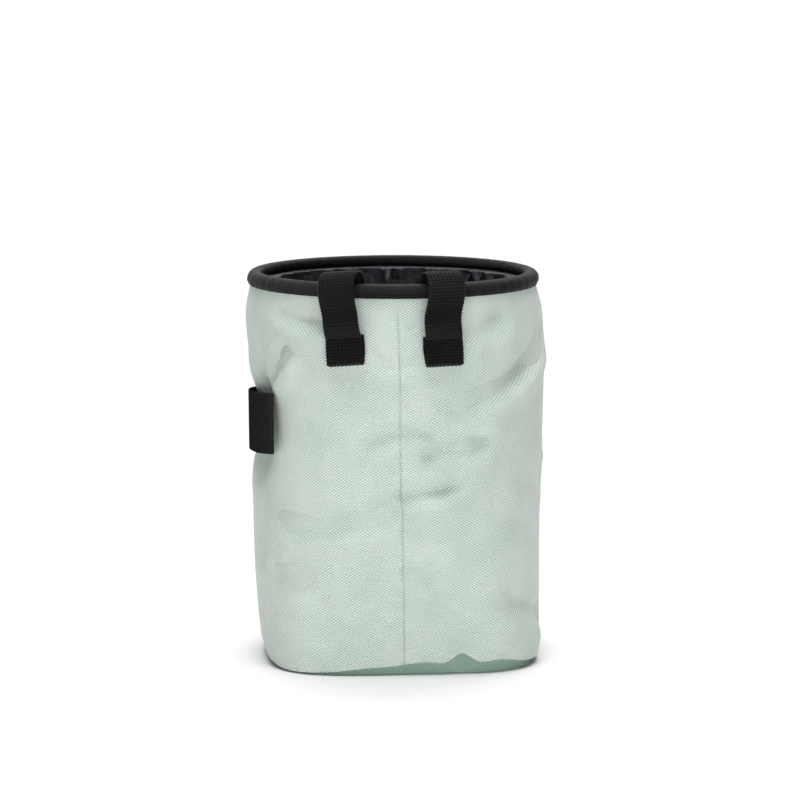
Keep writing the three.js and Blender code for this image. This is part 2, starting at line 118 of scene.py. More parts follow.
# Folds of the cloth tube, each a valley with a low ridge under it: degrees and share of bag_height where
# it starts and ends, bow as a share of bag_height, and shares of fold_depth and fold_width.
folds = [
    {"from": (-54, 0.925), "to": (-26, 0.890), "bow": 0.004, "depth": 0.8, "width": 0.8},
    {"from": (-45, 0.835), "to": (-59, 0.735), "bow": 0.0, "depth": 0.9, "width": 0.9},
    {"from": (-9, 0.822), "to": (12, 0.812), "bow": -0.018, "depth": 0.4, "width": 0.6},
    {"from": (27, 0.868), "to": (52, 0.920), "bow": 0.0, "depth": 0.6, "width": 1.0},
    {"from": (84, 0.850), "to": (23, 0.685), "bow": -0.008, "depth": 1.0, "width": 1.0},
    {"from": (-15, 0.582), "to": (18, 0.605), "bow": 0.028, "depth": 0.6, "width": 0.7},
    {"from": (12, 0.562), "to": (40, 0.608), "bow": -0.004, "depth": 0.8, "width": 0.8},
    {"from": (1, 0.456), "to": (28, 0.502), "bow": -0.004, "depth": 0.8, "width": 0.7},
    {"from": (-52, 0.402), "to": (1, 0.432), "bow": -0.034, "depth": 0.8, "width": 0.9},
    {"from": (-54, 0.270), "to": (-32, 0.235), "bow": 0.0, "depth": 0.5, "width": 1.1},
    {"from": (3, 0.268), "to": (18, 0.250), "bow": 0.0, "depth": 0.4, "width": 0.9},
    {"from": (44, 0.185), "to": (78, 0.120), "bow": 0.0, "depth": 0.6, "width": 1.1},
    {"from": (128, 0.800), "to": (196, 0.690), "bow": -0.020, "depth": 0.8, "width": 1.1},
    {"from": (158, 0.500), "to": (228, 0.570), "bow": -0.015, "depth": 0.8, "width": 1.0},
    {"from": (96, 0.560), "to": (140, 0.470), "bow": 0.010, "depth": 0.7, "width": 0.9},
    {"from": (188, 0.240), "to": (240, 0.310), "bow": 0.012, "depth": 0.6, "width": 1.2},
]

# Broad dents: angle and span in degrees, height and tall as shares of bag_height, depth as a share of
# dent_depth. They lie behind the brush loop and its two ends, over the hem's arch and in the back.
dents = [
    {"angle": -71, "span": 13, "height": 0.620, "tall": 0.135, "depth": 1.2},
    {"angle": -88, "span": 36, "height": 0.614, "tall": 0.095, "depth": 0.50},
    {"angle": -107, "span": 14, "height": 0.614, "tall": 0.130, "depth": 0.22},
    {"angle": 27, "span": 6, "height": 0.050, "tall": 0.045, "depth": 0.09},
    {"angle": 184, "span": 34, "height": 0.420, "tall": 0.220, "depth": 0.17},
]

# Waves of the hem above the floor: angles and spans in degrees, lift as a share of hem_arch
hem_waves = [
    {"angle": 28.5, "span": 4.5, "lift": 0.95},
    {"angle": 13, "span": 17, "lift": 0.75},
    {"angle": 43, "span": 12, "lift": 0.75},
    {"angle": 62, "span": 9, "lift": 0.20},
    {"angle": -12, "span": 11, "lift": 0.25},
    {"angle": -42, "span": 14, "lift": -0.16},
    {"angle": -68, "span": 12, "lift": 0.35},
    {"angle": 118, "span": 24, "lift": 0.30},
    {"angle": 205, "span": 26, "lift": 0.42},
]

# The centre seam wanders: degrees from the front at each share of bag_height
seam_line = [
    {"height": 0.00, "angle": 4.4},
    {"height": 0.30, "angle": 3.4},
    {"height": 0.55, "angle": 2.3},
    {"height": 0.80, "angle": 1.9},
    {"height": 1.00, "angle": 0.6},
]

# Columns of the meshes beside the seam, and how close they come to it as shares of their plain distance
seam_columns = {1: 0.45, 2: 0.62}
seam_groove = {0: 1.7, 1: 0.35, -1: 0.35}

# Belt loops: place round the mouth and lean of the hanging part in degrees. The hanging part is a little
# narrower and sways aside, the sewn end settles, and the layer folded under it shows beside it.
# Distances count towards -X.
belt_loops = [
    {
        "name": "belt_loop_left", "angle": -21.6, "lean": 6.0,
        "narrow": 0.02, "sway": -2.0 * mm, "settle": -0.15 * mm, "peek": -1.1 * mm,
    },
    {
        "name": "belt_loop_right", "angle": 19.2, "lean": 0.8,
        "narrow": 0.0, "sway": 3.5 * mm, "settle": 0.9 * mm, "peek": 1.1 * mm,
    },
]

# Brush loop: where it starts and ends round the bag and its tilt, in degrees
brush_span = {"from": -51.2, "to": -112, "tilt": 5.0}

# Small creases, more than the solids have: how many there are, and their least and greatest length,
# width and depth. Those along the seam and the hem run away from it.
loose_creases = {"count": 150, "length": (7, 24), "width": (1.2, 3.0), "depth": (0.06, 0.30)}
seam_creases = {"count": 52, "length": (3, 9), "width": (0.8, 1.6), "depth": (0.12, 0.40)}
hem_creases = {"count": 60, "length": (3, 9), "width": (0.8, 1.8), "depth": (0.08, 0.28)}

# Soft swells of the cloth: size of a swell and its height
swells = [
    {"size": 30 * mm, "height": 0.55 * mm},
    {"size": 12 * mm, "height": 0.16 * mm},
]

# Gathers of the lining: how many there are, and their least and greatest span in degrees and depth
pleats = {"count": 96, "span": (1.0, 2.4), "depth": (0.6, 2.4)}
lining_swells = [
    {"size": 9 * mm, "height": 1.3 * mm},
    {"size": 3.5 * mm, "height": 0.5 * mm},
]

# Fineness of the meshes
shell_columns = 480
shell_rows = 184
base_columns = 384
lining_columns = 640
lining_rows = 44
binding_columns = 720
web_columns = 56
web_step = 0.22 * mm


def smooth(share):
    t = np.clip(share, 0, 1)
    return t * t * (3 - 2 * t)


def bell(offset, spread):
    return np.exp(-((offset / spread) ** 2))


def turn_between(angle, other):
    return (angle - other + 180) % 360 - 180


def column_at(rows, share, column):
    """Value of a table's column at a height, on a smooth curve through the rows."""
    heights = np.array([row["height"] for row in rows])
    values = np.array([row[column] for row in rows])
    last = len(rows) - 1
    before = np.maximum(np.arange(last + 1) - 1, 0)
    after = np.minimum(np.arange(last + 1) + 1, last)
    slopes = (values[after] - values[before]) / (heights[after] - heights[before])
    held = np.clip(share, heights[0], heights[-1])
    low = np.clip(np.searchsorted(heights, held) - 1, 0, last - 1)
    step = heights[low + 1] - heights[low]
    t = (held - heights[low]) / step
    start = (1 + 2 * t) * (1 - t) ** 2 * values[low] + t * (1 - t) ** 2 * step * slopes[low]
    end = t * t * (3 - 2 * t) * values[low + 1] + t * t * (t - 1) * step * slopes[low + 1]
    return start + end


def section_radius(angle, z):
    """Plain outline of the cloth tube, before folds and dents."""
    share = z / bag_height
    turned = np.radians(angle - column_at(sections, share, "yaw"))
    sideways = np.sin(turned)
    forwards = np.cos(turned)
    side_reach = np.where(
        sideways > 0, column_at(sections, share, "right"), column_at(sections, share, "left")
    )
    depth_reach = np.where(
        forwards > 0, column_at(sections, share, "front"), column_at(sections, share, "back")
    )
    square = column_at(sections, share, "square")
    power = np.where(forwards > 0, square, 2 + back_squareness * (square - 2))
    total = np.abs(sideways / side_reach) ** power + np.abs(forwards / depth_reach) ** power
    return mouth_radius * total ** (-1 / power)


def dent_depth_at(angle, z):
    depth = 0
    for dent in dents:
        across = bell(turn_between(angle, dent["angle"]), dent["span"])
        along = bell(z / bag_height - dent["height"], dent["tall"])
        depth = depth + dent["depth"] * dent_depth * across * along
    return depth


def fold_offset(fold, angle, z):
    """Valley of one fold with the ridge under it, faded at its ends, a little uneven along its length."""
    start_angle, start_height = fold["from"]
    end_angle, end_height = fold["to"]
    arc_length = math.radians(turn_between(end_angle, start_angle)) * mouth_radius
    rise = (end_height - start_height) * bag_height
    length = math.hypot(arc_length, rise)
    along_arc = np.radians(turn_between(angle, start_angle)) * mouth_radius
    up = z - start_height * bag_height
    share = (along_arc * arc_length + up * rise) / length**2
    across = (up * arc_length - along_arc * rise) / length * math.copysign(1, arc_length)
    bow = 4 * share * (1 - share) * fold["bow"] * bag_height
    wander = start_angle + 5 * share
    bow = bow + fold_unevenness["aside"] * fold_width * np.sin(wander)
    width = fold["width"] * fold_width * (1 + fold_unevenness["width"] * np.sin(1.3 * wander))
    begins = smooth((share + fold_ends["past"]) / fold_ends["fade"])
    ends = smooth((1 + fold_ends["past"] - share) / fold_ends["fade"])
    valley = bell(across - bow, width)
    ridge_at = across - bow + ridge_shape["below"] * width
    ridge = ridge_shape["height"] * bell(ridge_at, ridge_shape["width"] * width)
    uneven = 1 + fold_unevenness["depth"] * np.sin(1.7 * wander)
    return fold["depth"] * fold_depth * uneven * begins * ends * (ridge - valley)


def calm_radius(angle, z):
    """Outside of the cloth tube without its folds, which the lining doesn't follow."""
    return section_radius(angle, z) - dent_depth_at(angle, z)


def looseness(z):
    """The binding holds the cloth smooth: below it, folds and slack grow to their full size."""
    return smooth((binding_foot - z) / (2 * tape_height))


def shell_radius(angle, z):
    """Outside of the cloth tube with its main folds."""
    radius = calm_radius(angle, z)
    for fold in folds:
        radius = radius + looseness(z) * fold_offset(fold, angle, z)
    return radius


def hem_height(angle):
    """Height of the hem above the floor."""
    height = hem_rise
    for wave in hem_waves:
        height = height + wave["lift"] * hem_arch * bell(turn_between(angle, wave["angle"]), wave["span"])
    return np.maximum(height, seam_gap)


def seam_angle(z):
    return column_at(seam_line, z / bag_height, "angle")


def turn_angles(columns, z):
    """Angles round the bag, closer together at the front, with the first one on the centre seam."""
    front_density = 0.3
    even = np.arange(columns) / columns * 2 * math.pi
    angle = even - front_density * np.sin(even)
    for aside, narrow in seam_columns.items():
        angle[aside] *= narrow
        angle[-aside] = 2 * math.pi - (2 * math.pi - angle[-aside]) * narrow
    return np.degrees(angle) + seam_angle(z) * (1 + np.cos(angle)) / 2


def polar(radius, angle, z):
    turned = np.radians(angle)
    radius, turned, z = np.broadcast_arrays(radius, turned, z)
    return np.stack([radius * np.sin(turned), -radius * np.cos(turned), z], axis=-1)


def noise_at(points, size, seed):
    """Soft noise between about -1 and 1 at each point, with swells of that size."""
    flat = points.reshape(-1, 3) / size + seed
    values = [noise.noise(Vector(place)) for place in flat]
    return np.array(values).reshape(points.shape[:-1])


def add_mesh(name, points, faces, texture, material):
    """New object from points, faces and one texture coordinate for each corner of each face."""
    mesh = bpy.data.meshes.new(name)
    mesh.from_pydata(points.reshape(-1, 3).tolist(), [], faces)
    layer = mesh.uv_layers.new(name="cloth_metres")
    layer.uv.foreach_set("vector", np.asarray(texture, dtype=np.float32).ravel())
    mesh.shade_smooth()
    mesh.materials.append(material)
    piece = bpy.data.objects.new(name, mesh)
    bpy.context.scene.collection.objects.link(piece)
    return piece


def closed_surface(name, points, texture, turn, material, poles=None):
    """Closed surface through rings of points. Without poles the last ring joins the first. The texture
    coordinate of the seam column goes on by one turn."""
    rows, columns = points.shape[:2]
    joined = rows - 1 if poles is not None else rows
    row = np.arange(joined)[:, None]
    column = np.arange(columns)[None, :]
    following = (row + 1) % rows
    beside = (column + 1) % columns
    corners = [(row, column), (row, beside), (following, beside), (following, column)]
    quads = np.stack([r * columns + c for r, c in corners], axis=-1).reshape(-1, 4)
    places = []
    for r, c in corners:
        place = texture[r + 0 * c, c + 0 * r].copy()
        if c is beside:
            place[:, -1, 0] += turn
        places.append(place)
    coordinates = np.stack(places, axis=2).reshape(-1, 2)
    faces = quads.tolist()
    points = points.reshape(-1, 3)
    if poles is not None:
        start = len(points)
        points = np.concatenate([points, poles])
        last_row = (rows - 1) * columns
        more = []
        for step in range(columns):
            side = (step + 1) % columns
            faces.append([start, side, step])
            more += [texture[0, step] * 0, texture[0, side], texture[0, step]]
            faces.append([start + 1, last_row + step, last_row + side])
            more += [texture[-1, step] * 0, texture[-1, step], texture[-1, side]]
        coordinates = np.concatenate([coordinates, np.array(more)])
    return add_mesh(name, points, faces, coordinates, material)


def dress(piece, slot, *nodes):
    """Puts a piece on the bag's one body in place of its solids. The slot is not used."""
    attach(piece, "root")
    if nodes:
        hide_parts(*nodes)


# Helpers for node materials


def new_material(name, roughness, sheen, sheen_roughness, specular):
    material = bpy.data.materials.new(name)
    material.use_nodes = True
    shader = material.node_tree.nodes["Principled BSDF"]
    shader.inputs["Roughness"].default_value = roughness
    shader.inputs["Sheen Weight"].default_value = sheen
    shader.inputs["Sheen Roughness"].default_value = sheen_roughness
    shader.inputs["Specular IOR Level"].default_value = specular
    return material


def put(tree, target, value):
    """Sets a socket to a number or links it to another socket."""
    if isinstance(value, (int, float)):
        target.default_value = value
    else:
        tree.links.new(value, target)


def calculate(tree, operation, first, second=0.0, third=0.0):
    node = tree.nodes.new("ShaderNodeMath")
    node.operation = operation
    for target, value in zip(node.inputs, (first, second, third)):
        put(tree, target, value)
    return node.outputs[0]


def cloth_place(tree):
    """Distances along and up the cloth, in metres."""
    place = tree.nodes.new("ShaderNodeUVMap")
    place.uv_map = "cloth_metres"
    parts = tree.nodes.new("ShaderNodeSeparateXYZ")
    tree.links.new(place.outputs["UV"], parts.inputs[0])
    return parts.outputs["X"], parts.outputs["Y"]


def ripple(tree, distance, period, phase=0.0):
    turned = calculate(tree, "MULTIPLY_ADD", distance, 2 * math.pi / period, phase)
    return calculate(tree, "SINE", turned)


def grain(tree, size, detail):
    """Noise from 0 to 1 in the space of the object, with grains of that size."""
    place = tree.nodes.new("ShaderNodeTexCoord")
    node = tree.nodes.new("ShaderNodeTexNoise")
    node.inputs["Scale"].default_value = 1 / size
    node.inputs["Detail"].default_value = detail
    tree.links.new(place.outputs["Object"], node.inputs["Vector"])
    return node.outputs["Fac"]


def blend_colors(tree, factor, dark, light):
    node = tree.nodes.new("ShaderNodeMix")
    node.data_type = "RGBA"
    put(tree, node.inputs["Factor"], factor)
    node.inputs["A"].default_value = (*dark, 1)
    node.inputs["B"].default_value = (*light, 1)
    return node.outputs["Result"]


def paint(material, color):
    tree = material.node_tree
    tree.links.new(color, tree.nodes["Principled BSDF"].inputs["Base Color"])


def emboss(material, height, depth):
    """Bump as deep as given, in metres, from a height of about -1 to 1."""
    tree = material.node_tree
    node = tree.nodes.new("ShaderNodeBump")
    node.inputs["Distance"].default_value = depth
    tree.links.new(height, node.inputs["Height"])
    tree.links.new(node.outputs["Normal"], tree.nodes["Principled BSDF"].inputs["Normal"])


def basket_weave(tree, across, up, wide, tall):
    """Checker of threads, from -1 for the lower threads to 1 for the upper ones."""
    return calculate(tree, "MULTIPLY", ripple(tree, across, wide), ripple(tree, up, tall))


# Materials


def woven_cloth(name, dark, light):
    """Pale coated basket weave: pillow-like threads, uneven from place to place, faintly mottled. Its colour
    paints the lower threads darker and greener as painted shade and the upper ones paler as a painted
    highlight.
    """
    material = new_material(name, 0.46, 0.22, 0.4, 0.5)
    tree = material.node_tree
    across, up = cloth_place(tree)
    weave = basket_weave(tree, across, up, 1.8 * mm, 1.17 * mm)
    pillow = calculate(tree, "SQRT", calculate(tree, "ABSOLUTE", weave))
    relief = calculate(tree, "MULTIPLY_ADD", weave, 0.55, calculate(tree, "MULTIPLY", pillow, 0.8))
    fibre = grain(tree, 0.35 * mm, 3)
    rough = calculate(tree, "MULTIPLY_ADD", fibre, 0.5, relief)
    emboss(material, rough, 0.2 * mm)
    mottle = grain(tree, 16 * mm, 2)
    patchy = calculate(tree, "MULTIPLY_ADD", grain(tree, 5 * mm, 2), 1.2, -0.1)
    # The weave term, scaled from place to place by patchy, is painted shade on the lower threads and a
    # painted highlight on the upper ones; the mottle and fibre terms are the cloth's own uneven tone.
    shade = calculate(tree, "MULTIPLY_ADD", calculate(tree, "MULTIPLY", weave, patchy), 0.8, 0.22)
    shade = calculate(tree, "ADD", shade, calculate(tree, "MULTIPLY", mottle, 0.28))
    shade = calculate(tree, "ADD", shade, calculate(tree, "MULTIPLY", fibre, 0.28))
    paint(material, blend_colors(tree, shade, dark, light))
    return material


def lining_cloth():
    """Thin smooth lining: close fine weave under a soft sheen."""
    material = new_material("lining_cloth", 0.42, 0.1, 0.35, 0.3)
    tree = material.node_tree
    across, up = cloth_place(tree)
    weave = basket_weave(tree, across, up, 0.6 * mm, 0.6 * mm)
    emboss(material, weave, 0.03 * mm)
    mottle = grain(tree, 7 * mm, 3)
    paint(material, blend_colors(tree, mottle, (0.018, 0.017, 0.021), (0.060, 0.057, 0.068)))
    return material


def binding_tape():
    """Soft tape with a fine slanting twill."""
    material = new_material("binding_tape", 0.55, 0.0, 0.4, 0.2)
    tree = material.node_tree
    around, over = cloth_place(tree)
    slant = calculate(tree, "MULTIPLY_ADD", over, 1.2, around)
    twill = ripple(tree, slant, 1.25 * mm)
    threads = ripple(tree, over, 0.75 * mm)
    relief = calculate(tree, "MULTIPLY_ADD", threads, 0.4, twill)
    emboss(material, relief, 0.16 * mm)
    fibre = grain(tree, 0.5 * mm, 3)
    shade = calculate(tree, "MULTIPLY_ADD", twill, 0.18, fibre)
    paint(material, blend_colors(tree, shade, (0.002, 0.002, 0.0022), (0.012, 0.012, 0.0127)))
    return material


def black_webbing(name, rib, thread, light, specular):
    """Webbing yarn: fine threads along the strap over the ribs of the mesh. Its colour paints the lower
    threads darker as painted shade in the grooves.
    """
    material = new_material(name, 0.36, 0.0, 0.35, specular)
    tree = material.node_tree
    along, across = cloth_place(tree)
    yarn = basket_weave(tree, along, across, rib, thread)
    fibre = grain(tree, 0.3 * mm, 3)
    emboss(material, calculate(tree, "ADD", yarn, fibre), 0.12 * mm)
    # The yarn term darkens the lower threads as painted shade in the grooves; the fibre term is the yarn's
    # own uneven tone.
    shade = calculate(tree, "MULTIPLY_ADD", yarn, 0.4, fibre)
    paint(material, blend_colors(tree, shade, (0.002, 0.002, 0.0022), light))
    return material


def sewing_thread():
    """Twisted black thread."""
    material = new_material("sewing_thread", 0.6, 0.0, 0.4, 0.1)
    tree = material.node_tree
    along, around = cloth_place(tree)
    twist = ripple(tree, calculate(tree, "ADD", along, around), 0.3 * mm)
    emboss(material, twist, 0.04 * mm)
    shade = calculate(tree, "MULTIPLY_ADD", twist, 0.5, 0.5)
    paint(material, blend_colors(tree, shade, (0.002, 0.002, 0.0022), (0.009, 0.009, 0.0095)))
    return material


def studio_white():
    material = new_material("studio_white", 0.9, 0.0, 0.5, 0.2)
    tree = material.node_tree
    shade = grain(tree, 0.5, 1)
    paint(material, blend_colors(tree, shade, (0.88, 0.88, 0.88), (0.90, 0.90, 0.90)))
    return material


# Cloth tube


def drawn(table, random, key, unit):
    low, high = table[key]
    return random.uniform(low, high) * unit


def small_creases():
    """Places, lengths, widths and depths of the small creases, always the same."""
    random = np.random.default_rng(11)
    creases = []
    for _ in range(loose_creases["count"]):
        angle = random.uniform(-180, 180)
        z = random.uniform(0.06, 0.92) * bag_height
        creases.append((angle, z, random.normal(0, 28), loose_creases))
    for _ in range(seam_creases["count"]):
        z = random.uniform(0.03, 0.90) * bag_height
        side = random.choice([-1, 1])
        angle = float(seam_angle(z)) + side * random.uniform(2.5, 5.5)
        creases.append((angle, z, side * random.uniform(-35, 20), seam_creases))
    for _ in range(hem_creases["count"]):
        angle = random.uniform(-180, 180)
        z = random.uniform(0.02, 0.05) * bag_height
        creases.append((angle, z, random.uniform(55, 125), hem_creases))
    made = []
    for angle, z, slope, table in creases:
        sizes = [drawn(table, random, key, mm) for key in ("length", "width", "depth")]
        made.append((angle, z, math.radians(slope), *sizes))
    return made


def crease_depth(angle, z):
    depth = 0
    for middle, height, slope, length, width, deep in small_creases():
        along_arc = np.radians(turn_between(angle, middle)) * mouth_radius
        up = z - height
        along = along_arc * math.cos(slope) + up * math.sin(slope)
        across = up * math.cos(slope) - along_arc * math.sin(slope)
        valley = bell(across, width) - 0.5 * bell(across + 2 * width, width)
        depth = depth + deep * bell(along, length / 2) * valley
    return depth


def sewn_down(angle, z):
    """1 on free cloth, falling to 0 behind the sewn ends of the belt loops and the brush loop."""
    free = 1
    for loop in belt_loops:
        beside = bell(turn_between(angle, loop["angle"]), 10)
        beneath = bell(z - (bag_height - belt_loop_drop + belt_tail_length / 2), belt_tail_length)
        free = free - beside * beneath
    for end in ("from", "to"):
        beside = bell(turn_between(angle, brush_span[end]), 9)
        beneath = bell(z - brush_loop_height, 0.7 * brush_web_width)
        free = free - beside * beneath
    return np.clip(free, 0, 1)


def worn_radius(angle, z):
    """Outside of the cloth tube with its small creases and soft swells."""
    radius = shell_radius(angle, z)
    places = polar(radius, angle, z)
    soft = 0
    for seed, swell in enumerate(swells):
        soft = soft + swell["height"] * noise_at(places, swell["size"], seed)
    freedom = looseness(z) * sewn_down(angle, z)
    return radius + freedom * (soft - crease_depth(angle, z))


def outer_shell(material):
    """Cloth tube with a rolled hem, a centre seam and its inside face."""
    roll = shell_wall / 2
    roll_steps = 4
    bend = bag_height - 2.5 * tape_height
    reach = turn_angles(shell_columns, 0)
    hem = hem_height(reach)
    rows = []
    for step in range(roll_steps):
        phase = math.pi / 2 * step / roll_steps
        rows.append((hem + roll * (1 - math.cos(phase)), roll * (1 - math.sin(phase))))
    start = hem + roll
    for step in range(shell_rows + 1):
        rows.append((start + (cloth_top - start) * step / shell_rows, 0))
    for z in (*np.linspace(cloth_top, bend, 10), *np.linspace(bend, start, 7)[1:]):
        rows.append((z, shell_wall))
    heights = np.array([z + 0 * hem for z, _ in rows])
    insets = np.array([inset for _, inset in rows])[:, None]
    angles = np.array([turn_angles(shell_columns, float(z[0])) for z in heights])
    radius = worn_radius(angles, heights) - insets
    for aside, share in seam_groove.items():
        radius[:, aside] -= share * seam_depth * looseness(heights[:, aside])
    texture = np.stack([np.radians(angles) * mouth_radius, heights], axis=-1)
    points = polar(radius, angles, heights)
    turn = 2 * math.pi * mouth_radius
    piece = closed_surface("outer_shell_cloth", points, texture, turn, material)
    dress(piece, "shell_cloth", "outer_shell")


# Base, lining and binding


def base_panel(material):
    """Shallow dish whose edge bulges under the hem and turns up inside it."""
    crease_room = 1.0 * mm
    inner = shell_wall + seam_gap + seam_depth + crease_room
    angle = turn_angles(base_columns, 0)
    hem = hem_height(angle)
    foot = shell_radius(angle, 0 * angle)
    at_hem = shell_radius(angle, hem)
    edge = hem + seam_allowance
    at_edge = shell_radius(angle, edge)
    rows = []
    for share in (0.15, 0.35, 0.6, 0.85, 1.0):
        rows.append((share * (foot - floor_inset), 0 * angle))
    bulge_steps = 10
    for step in range(1, bulge_steps + 1):
        share = step / bulge_steps
        swing = math.sin(math.pi / 2 * share) ** 1.5
        reach = (foot - floor_inset) * (1 - swing) + (at_hem - inner) * swing
        rows.append((reach, (hem - seam_gap) * share**1.3))
    rows.append((at_hem - inner, hem))
    rows.append((at_edge - inner, edge))
    rows.append((at_edge - inner - base_wall, edge))
    rows.append((at_hem - inner - base_wall, hem + base_wall))
    rows.append((foot - floor_inset - inner, base_wall + 0 * angle))
    radius = np.array([row[0] for row in rows])
    heights = np.array([row[1] for row in rows])
    points = polar(radius, angle, heights)
    flat = polar(radius, angle, heights)[..., :2]
    on_floor = np.arange(len(rows))[:, None, None] < 5
    wrapped = np.stack([np.radians(angle) * mouth_radius + 0 * heights, heights], axis=-1)
    texture = np.where(on_floor, flat, wrapped)
    poles = np.array([[0, 0, 0], [0, 0, base_wall]])
    turn = 2 * math.pi * mouth_radius
    piece = closed_surface("base_panel_cloth", points, texture, turn, material, poles)
    # The base panel's material is the shell's cloth painted darker all over: painted shade.
    dress(piece, "base_cloth", "base_panel")


def pleat_depth(angle, z):
    """Inward gathers of the lining, which slant and fade as they run down."""
    random = np.random.default_rng(5)
    depth = 0
    fall = binding_foot - z
    for _ in range(pleats["count"]):
        middle = random.uniform(-180, 180)
        span = random.uniform(*pleats["span"])
        deep = random.uniform(*pleats["depth"]) * mm
        slant = random.uniform(-0.6, 0.6)
        length = random.uniform(0.12, 0.5) * bag_height
        beside = turn_between(angle, middle + slant * fall / mm)
        widening = span * (1 + 2.5 * np.clip(fall / length, 0, 1))
        depth = depth + deep * bell(beside, widening) * bell(fall, length)
    return depth


def puff(angle, z):
    """Share of its full play that the lining has: none in the binding, nor under a belt loop's sewn end."""
    free = smooth((inner_foot - seam_gap / 2 - z) / lining_ledge)
    sewn_span = 12.5
    sewn_foot = bag_height - belt_inner_end - 2.2 * mm
    for loop in belt_loops:
        beneath = smooth((z - sewn_foot) / (1.2 * mm))
        beside = np.exp(-((turn_between(angle, loop["angle"]) / sewn_span) ** 6))
        free = free * (1 - beside * beneath)
    return free


def lining(material):
    """Gathered sock of thin cloth inside the tube, closed at the bottom."""
    floor = base_wall + seam_gap
    corner = seam_allowance + hem_rise
    angle = np.degrees(np.arange(lining_columns) / lining_columns * 2 * math.pi)
    neck_step = 0.3 * mm
    neck = [cloth_top, inner_foot] + [inner_foot - step * neck_step for step in range(1, 34)]
    outside_heights = np.concatenate([np.linspace(corner, neck[-1], 20)[:-1], neck[::-1]])
    share = np.linspace(0, 1, lining_rows)
    inside_heights = np.concatenate([neck[:-1], neck[-1] + (corner - neck[-1]) * share**1.4])
    corner_room = 1.2 * mm
    crumple_seed = 3

    def outside_at(z):
        slack = 1 + 0.4 * smooth((binding_foot - z) / (4 * tape_height))
        play = puff(angle, z) * lining_play * slack + corner_room * bell(z - corner, corner)
        return calm_radius(angle, z + 0 * angle) - shell_wall - seam_gap - play

    disc_steps = 5
    disc_room = 1.5 * mm
    disc_reach = outside_at(corner) - corner - disc_room
    flat_rows = [step / disc_steps * disc_reach for step in range(1, disc_steps + 1)]
    rows = [(reach, floor + 0 * angle) for reach in flat_rows]
    for z in outside_heights:
        rows.append((outside_at(z), z + 0 * angle))
    for z in inside_heights:
        rows.append((outside_at(z) - lining_wall - puff(angle, z) * pleat_depth(angle, z), z + 0 * angle))
    rows += [(reach, floor + lining_wall + 0 * angle) for reach in flat_rows[::-1]]
    radius = np.array([row[0] for row in rows])
    heights = np.array([row[1] for row in rows])
    places = polar(radius, angle, heights)
    crumple = 0
    for step, swell in enumerate(lining_swells):
        crumple = crumple + np.abs(noise_at(places, swell["size"], crumple_seed + step)) * swell["height"]
    inner_face = (np.arange(len(rows)) >= disc_steps + len(outside_heights))[:, None]
    radius = radius - inner_face * puff(angle, heights) * crumple
    points = polar(radius, angle, heights)
    texture = np.stack([np.radians(angle) * mouth_radius + 0 * heights, heights], axis=-1)
    poles = np.array([[0, 0, floor], [0, 0, floor + lining_wall]])
    turn = 2 * math.pi * mouth_radius
    piece = closed_surface("lining_cloth_gathered", points, texture, turn, material, poles)
    dress(piece, "lining_cloth", "lining")


def binding_profile():
    """Tape folded to a soft tube: how far out from the cloth tube, and height, once round its section."""
    bulge = 0.3 * mm
    outer = seam_gap + tape_wall + bulge
    inner = -(channel_depth + tape_wall + bulge)
    foot_wall = 0.45 * mm
    crown_steps = 44
    squareness = 2.3
    middle = (outer + inner) / 2
    half = (outer - inner) / 2
    tall = tape_height / 2
    inner_foot_tall = bag_height - tall - inner_foot
    start = math.asin((seam_gap + foot_wall - middle) / half) - math.pi / 2
    profile = [(seam_gap, binding_foot + 0.4 * foot_wall), (seam_gap + 0.5 * foot_wall, binding_foot)]
    for step in range(crown_steps + 1):
        phase = start + (math.pi - 2 * start) * step / crown_steps
        across, up = (
            math.copysign(abs(part) ** (2 / squareness), part) for part in (math.cos(phase), math.sin(phase))
        )
        below = tall if across > 0 or up > 0 else inner_foot_tall
        profile.append((middle + half * across, bag_height - tall + below * up))
    profile.append((-channel_depth - 0.5 * foot_wall, inner_foot))
    profile.append((-channel_depth, inner_foot + 0.4 * foot_wall))
    profile += [(-channel_depth, bag_height - tape_wall), (seam_gap, bag_height - tape_wall)]
    return profile


def binding_place(angle, offset, z):
    """Point of the binding, which puckers a little along its stitches."""
    pucker = 0.10 * mm * np.sin(np.radians(angle) * 61) + 0.08 * mm * np.sin(np.radians(angle) * 37 + 1)
    outward = np.sign(offset + channel_depth / 2)
    return polar(shell_radius(angle, np.maximum(z, binding_foot)) + offset + outward * pucker, angle, z)


def rim_binding(material):
    angle = turn_angles(binding_columns, bag_height)
    profile = binding_profile()
    offsets = np.array([offset for offset, _ in profile])[:, None] + 0 * angle
    heights = np.array([z for _, z in profile])[:, None] + 0 * angle
    points = binding_place(angle, offsets, heights)
    steps = np.linalg.norm(np.diff(points[:, 0], axis=0), axis=-1)
    over = np.concatenate([[0], np.cumsum(steps)])[:, None]
    texture = np.stack([np.radians(angle) * mouth_radius + 0 * over, over + 0 * angle], axis=-1)
    turn = 2 * math.pi * mouth_radius
    piece = closed_surface("rim_binding_tape", points, texture, turn, material)
    dress(piece, "binding_tape", "rim_binding")


# Webbing


def quadratic(start, control, end, count=24):
    t = np.linspace(0, 1, count)[:, None]
    return (1 - t) ** 2 * np.array(start) + 2 * t * (1 - t) * np.array(control) + t * t * np.array(end)


def even_path(points, step):
    """The path's points at even distances, at most a step apart."""
    points = np.asarray(points, dtype=float)
    lengths = np.concatenate([[0], np.cumsum(np.linalg.norm(np.diff(points, axis=0), axis=1))])
    count = math.ceil(lengths[-1] / step)
    wanted = np.linspace(0, lengths[-1], count + 1)
    return np.stack([np.interp(wanted, lengths, points[:, axis]) for axis in range(points.shape[1])], axis=1)


